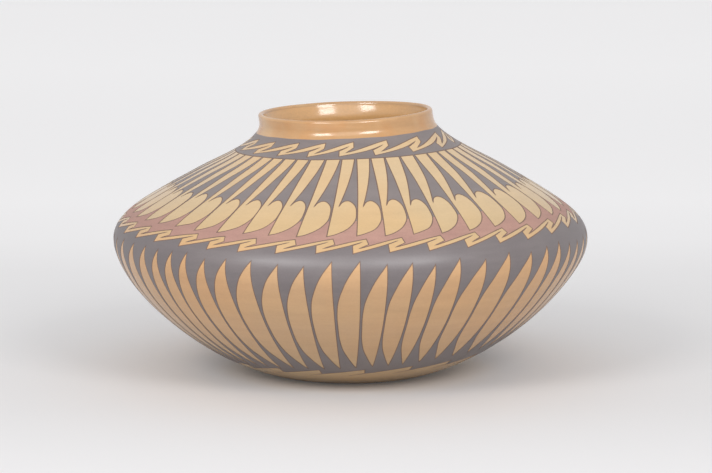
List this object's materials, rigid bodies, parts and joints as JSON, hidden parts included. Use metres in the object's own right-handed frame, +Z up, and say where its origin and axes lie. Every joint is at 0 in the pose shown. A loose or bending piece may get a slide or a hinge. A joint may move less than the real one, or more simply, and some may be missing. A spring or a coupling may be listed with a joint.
{
  "type": "pottery vase",
  "caption": "Low wide-shouldered hand-coiled pottery vase with a flat foot, a short leaning neck and bands of painted feather and zigzag ornament; holds stems or stands as an ornament.",
  "frame": {"origin": "centre of the flat foot, on the surface that the vase stands on", "axes": "+Z up along the axis that the body is built round; +X to the right in the front view, the side on which the lip is higher; -Y towards the front"},
  "size_m": [0.23, 0.23, 0.1284],
  "materials": {
    "tan_slip": "clay slip rubbed to a gloss",
    "leaf_tan": "clay slip with a low polish",
    "grey_paint": "fired mineral paint, matt to satin",
    "rust_paint": "fired red clay paint, matt",
    "outline_paint": "thin dark brown painted line, matt",
    "bare_clay": "unpolished fired clay inside the jar"
  },
  "bodies": {
    "root": {"base_bowl": "tan_slip", "lower_wall": "leaf_tan", "belly_wall": "leaf_tan", "shoulder_turn": "grey_paint", "shoulder_wall": "leaf_tan", "neck_collar": "tan_slip"}
  },
  "joints": []
}
